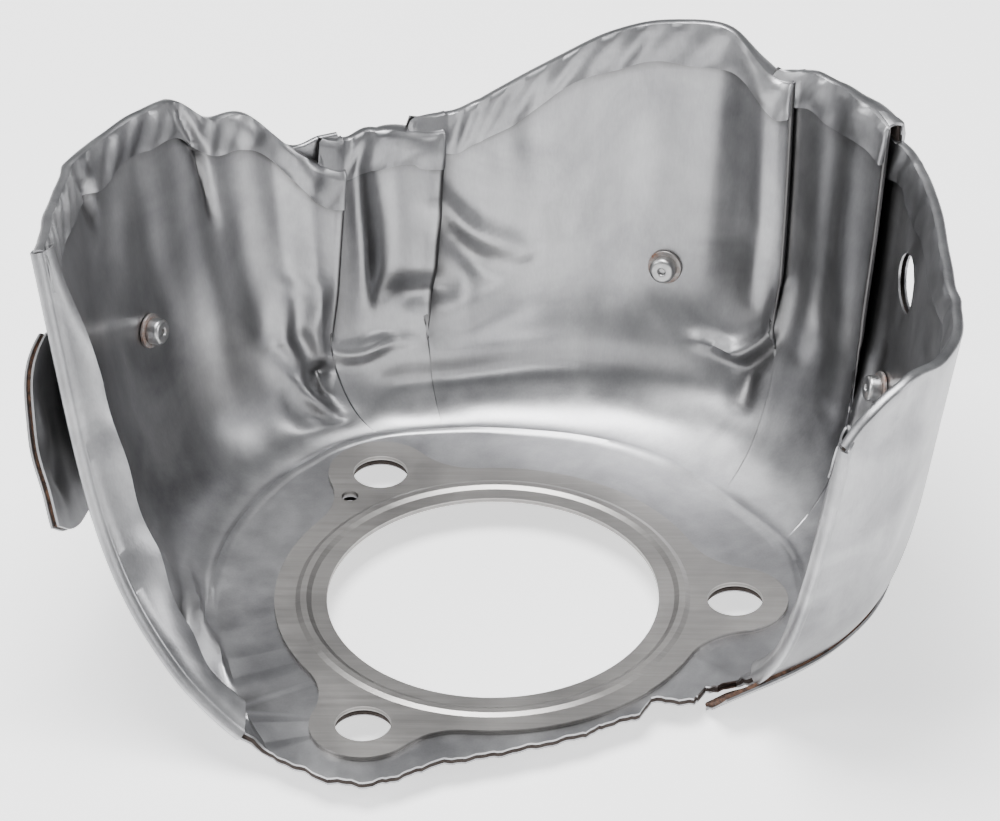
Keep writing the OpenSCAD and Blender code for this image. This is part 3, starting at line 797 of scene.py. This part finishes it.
def rear_lap_tab():
    """End of the back panel, which stands behind the left panel's corner and above its rim."""
    us = np.linspace(*TAB_STATIONS, 40)
    share = (us - us[0])/(us[-1] - us[0])
    n = outward(us, np.full_like(us, 0.97))
    rim = wall(us, np.ones_like(us))
    target = rim[:, 2] + (TAB_TOP - rim[:, 2])*smooth(share, -0.1, 0.7)
    rows = []
    for t in np.linspace(0, 1, 20):
        p = wall(us, np.full_like(us, TAB_FOOT_V + (1 - TAB_FOOT_V)*t))
        p[:, 2] += (target - rim[:, 2])*t
        rows.append(p + (OUTER_HI - 0.2 + 0.4*math.sin(3*t))*n)
    # Round over the top and down the inside
    top = rows[-1]
    for a in (30, 60, 90, 120, 150, 180):
        r = math.radians(a)
        rows.append(top + n*(-0.7 + 0.7*math.cos(r)) + np.array([0, 0, 0.5*math.sin(r)]))
    for t in (0.25, 0.5, 0.75, 1):
        rows.append(top + n*(-1.4 - 0.15*t) + np.array([0, 0, -6.5*t]))
    faces = grid_quads(len(rows), len(us), True)
    mesh = thicken(make_mesh("rear_lap_tab", np.concatenate(rows), faces), SKIN)
    shade(mesh)
    add_object("rear_lap_tab", mesh, [], outer_steel)


rear_lap_tab()


# ---------------------------------------------------------------- fasteners
def lathe(name, profile, at, segments=64):
    """Turned piece: profile (radius, height) round the wall's normal at a place on the wall."""
    pts, faces = [], []
    for k in range(segments):
        a = 2*math.pi*k/segments
        pts += [(r*math.cos(a), r*math.sin(a), z) for r, z in profile]
    m = len(profile)
    for k in range(segments):
        for j in range(m - 1):
            a, b = k*m + j, ((k + 1) % segments)*m + j
            faces.append((a, b, b + 1, a + 1))
    u, v = np.array(float(at[0])), np.array(float(at[1]))
    n = outward(u, v)
    depth = float(lap_lean(u, v))
    turn = Vector(n).to_track_quat("Z", "X").to_matrix().to_4x4()
    place = Matrix.Translation(Vector(wall(u, v) - depth*n)) @ turn
    pts = np.array([tuple(place @ Vector(p)) for p in pts])
    mesh = make_mesh(name, pts, faces, recalc=True)
    shade(mesh, 50)
    return mesh


def arc(cx, cz, r, a0, a1, n):
    """n + 1 points of a round stretch in a profile, from angle a0 to a1."""
    return [(cx + r*math.cos(math.radians(a0 + (a1 - a0)*k/n)),
             cz + r*math.sin(math.radians(a0 + (a1 - a0)*k/n))) for k in range(n + 1)]


# Air between a turned piece and the next one
FIT = 0.02


def fasten(side, at, grip):
    """Rivet, washer inside and collar outside, through sheets that are grip thick together."""
    head_0 = -SEAT - WASHER_T - FIT
    top = head_0 - HEAD_H
    end = grip + SEAT + COLLAR_T + FIT
    rivet = ([(0, top + 0.8), (0.55, top + 0.78)] + arc(0.95, top + 0.35, 0.35, 180, 270, 5)
             + arc(HEAD_R - 0.75, top + 0.75, 0.75, 270, 360, 8)
             + arc(HEAD_R - 0.2, head_0 - 0.2, 0.2, 0, 90, 3) + [(SHANK_R, head_0)]
             + [(SHANK_R, end)] + arc(SHANK_R + 0.35, end + 0.25, 0.25, 270, 360, 3)
             + arc(SHANK_R + 0.25, end + 0.3, 0.3, 0, 90, 4) + [(0.6, end + 0.56), (0, end + 0.5)])
    add_object(side + "_rivet_body", lathe(side + "_rivet_body", rivet, at), [side + "_rivet"],
               rivet_steel)
    bore = SHANK_R + 0.03
    z0, z1 = -SEAT - WASHER_T, -SEAT
    ring = ([(bore, z0)] + arc(WASHER_R - 0.15, z0 + 0.15, 0.15, 270, 360, 3)
            + arc(WASHER_R - 0.12, z1 - 0.12, 0.12, 0, 90, 3) + [(bore, z1), (bore, z0)])
    add_object(side + "_washer_ring", lathe(side + "_washer_ring", ring, at), [side + "_washer"],
               washer_steel)
    z0, z1 = grip + SEAT, grip + SEAT + COLLAR_T
    ring = ([(bore, z0)] + arc(COLLAR_R - 0.1, z0 + 0.1, 0.1, 270, 360, 2)
            + arc(COLLAR_R - 0.4, z1 - 0.4, 0.4, 0, 90, 5) + [(bore, z1), (bore, z0)])
    add_object(side + "_collar_ring", lathe(side + "_collar_ring", ring, at), [side + "_collar"],
               collar_steel)


# The left and right rivets also hold the deflector and the strap
fasten("left", LEFT_RIVET, 2*OUTER_HI + SEAT)
fasten("rear", REAR_RIVET, OUTER_HI)
fasten("right", RIGHT_RIVET, 2*OUTER_HI + SEAT)


# ---------------------------------------------------------------- side deflector and strap
def off_wall(u, v, d):
    """Point d outward from the wall with its laps and relief; below the floor edge it goes down."""
    u, v = np.broadcast_arrays(np.asarray(u, float), np.asarray(v, float))
    depth = lap_lean(u, v) + relief(u, v)
    n = outward(u, v)
    n = np.where((v <= 0)[..., None], [0, 0, -1.0], n)
    return wall(u, v) + (d - depth)[..., None]*n


def deflector_point(s, t, d):
    """Side deflector: s from its free front edge back along the wall, t up, d outward."""
    v = DEFLECTOR_LOW + t*DEFLECTOR_HEIGHT - DEFLECTOR_SLOPE*s
    flare = DEFLECTOR_FLARE*(1 - s)**2*(1 - t**5)
    dents = 0.7*np.exp(-((s - 0.06)/0.05)**2 - ((t - 0.55)/0.12)**2)
    dents = dents - 0.6*np.exp(-((s - 0.12)/0.08)**2 - ((t - 0.3)/0.1)**2)
    dents = dents + 0.3*np.sin(19*s + 5*t)*np.sin(9*t)
    p = off_wall(DEFLECTOR_STATIONS*s, v, OUTER_HI + SEAT + d - dents*(1 - s))
    return p - flare[..., None]*np.array([1, 0.2, 0])


def strap_point(s, t, d):
    """Strap: s from the right rivet forward and down to its bent free end, t across, d outward."""
    u = RIGHT_RIVET[0] - STRAP_START + s*(LAST - RIGHT_RIVET[0] + STRAP_START)
    v = RIGHT_RIVET[1]*(1 - s)**1.3 + STRAP_END_V*s + (2*t - 1)*STRAP_HALF
    bend = s**3
    p = off_wall(u, v, OUTER_HI + SEAT + d)
    return p - bend[..., None]*np.array([STRAP_REACH, 0, STRAP_DROP])


def patch(name, point, d, thickness, steps, nodes, material):
    """Curved strip from its point function, with its thickness on the outside."""
    # Felt ends a little short of the sheets' edges
    inset = 0.012 if material is felt else 0
    s, t = np.meshgrid(np.linspace(inset, 1 - inset/3, steps[0] + 1),
                       np.linspace(inset, 1 - inset, steps[1] + 1), indexing="ij")
    near, far = point(s, t, d), point(s, t, d + thickness)
    n, m = s.shape
    q = n*m
    faces = []
    for i in range(n - 1):
        for j in range(m - 1):
            a = i*m + j
            faces.append((a, a + m, a + m + 1, a + 1))
            faces.append((q + a, q + a + 1, q + a + m + 1, q + a + m))
    # Rims along the two long sides and across the two ends
    for i in range(n - 1):
        for a in (i*m, i*m + m - 1):
            faces.append((a, q + a, q + a + m, a + m))
    for j in range(m - 1):
        for a in (j, (n - 1)*m + j):
            faces.append((a, a + 1, q + a + 1, q + a))
    points = np.concatenate([near.reshape(-1, 3), far.reshape(-1, 3)])
    mesh = make_mesh(name, points, faces, recalc=True)
    shade(mesh)
    add_object(name, mesh, nodes, material)


DEFLECTOR_STEPS, STRAP_STEPS = (90, 60), (110, 24)
patch("side_deflector_inner_sheet", deflector_point, 0, SKIN, DEFLECTOR_STEPS,
      ["side_deflector_inner_skin"], deflector_steel)
patch("side_deflector_felt", deflector_point, MAT_LO, MAT, DEFLECTOR_STEPS,
      ["side_deflector_mat"], felt)
patch("side_deflector_outer_sheet", deflector_point, OUTER_LO, SKIN, DEFLECTOR_STEPS,
      ["side_deflector_outer_skin"], deflector_steel)
patch("strap_felt", strap_point, 0, MAT, STRAP_STEPS, ["strap_mat"], felt)
patch("strap_sheet", strap_point, MAT + GAP, SKIN, STRAP_STEPS,
      ["strap_skin"], outer_steel)

# ---------------------------------------------------------------- gasket
# The CAD layers keep their exact shape and only get materials
for node_name, material in (("gasket_top_layer", gasket_steel), ("gasket_core_layer", gasket_core),
                            ("gasket_bottom_layer", gasket_steel)):
    for material_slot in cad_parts[node_name].material_slots:
        material_slot.material = material

# ---------------------------------------------------------------- floor, light and camera
floor_z = cad_low.z - 0.0004
bpy.ops.mesh.primitive_plane_add(size=8, location=(0, 0, floor_z))
ground = bpy.context.object
ground.name = "studio_floor"
pale = bpy.data.materials.new("studio_floor_paint")
pale.use_nodes = True
paint = pale.node_tree.nodes["Principled BSDF"]
paint.inputs["Base Color"].default_value = (0.93, 0.93, 0.93, 1)
paint.inputs["Roughness"].default_value = 0.9
paint.inputs["Specular IOR Level"].default_value = 0.1
paint.inputs["Emission Color"].default_value = (1, 1, 1, 1)
paint.inputs["Emission Strength"].default_value = 1.1
ground.data.materials.append(pale)

world = bpy.data.worlds.new("studio")
bpy.context.scene.world = world
world.use_nodes = True
sky = world.node_tree.nodes["Background"]
sky.inputs["Color"].default_value = (0.95, 0.97, 1.0, 1)
sky.inputs["Strength"].default_value = 0.30


BOWL_MIDDLE = Vector((0, 0, 0.03))


def softbox(name, place, size_x, size_y, power):
    """Soft area light that faces the middle of the bowl."""
    light = bpy.data.lights.new(name, "AREA")
    light.shape, light.size, light.size_y, light.energy = "RECTANGLE", size_x, size_y, power
    o = bpy.data.objects.new(name, light)
    bpy.context.scene.collection.objects.link(o)
    o.location = place
    o.rotation_euler = (BOWL_MIDDLE - Vector(place)).to_track_quat("-Z", "Y").to_euler()


softbox("top_softbox", (-0.1, 0.1, 0.9), 0.55, 0.45, 15)
softbox("left_softbox", (-0.9, -0.35, 0.6), 0.35, 0.6, 7)
softbox("right_softbox", (0.95, -0.25, 0.5), 0.25, 0.6, 5)
softbox("front_softbox", (0.1, -1.2, 0.3), 0.6, 0.2, 2.5)

# The camera looks down into the bowl from the front: place in metres, angles in degrees
CAMERA_AT = (0.0374, -1.0794, 0.8116)
CAMERA_HEADING, CAMERA_DOWN, CAMERA_ROLL = 1.9, 35.47, -0.51
camera_data = bpy.data.cameras.new("camera")
camera = bpy.data.objects.new("camera", camera_data)
bpy.context.scene.collection.objects.link(camera)
camera_data.sensor_width, camera_data.lens = 36, 268.96
camera_data.clip_start, camera_data.clip_end = 0.01, 20
camera.matrix_world = (Matrix.Translation(CAMERA_AT)
                       @ Matrix.Rotation(math.radians(CAMERA_HEADING), 4, "Z")
                       @ Matrix.Rotation(math.radians(90 - CAMERA_DOWN), 4, "X")
                       @ Matrix.Rotation(math.radians(CAMERA_ROLL), 4, "Z"))
bpy.context.scene.camera = camera
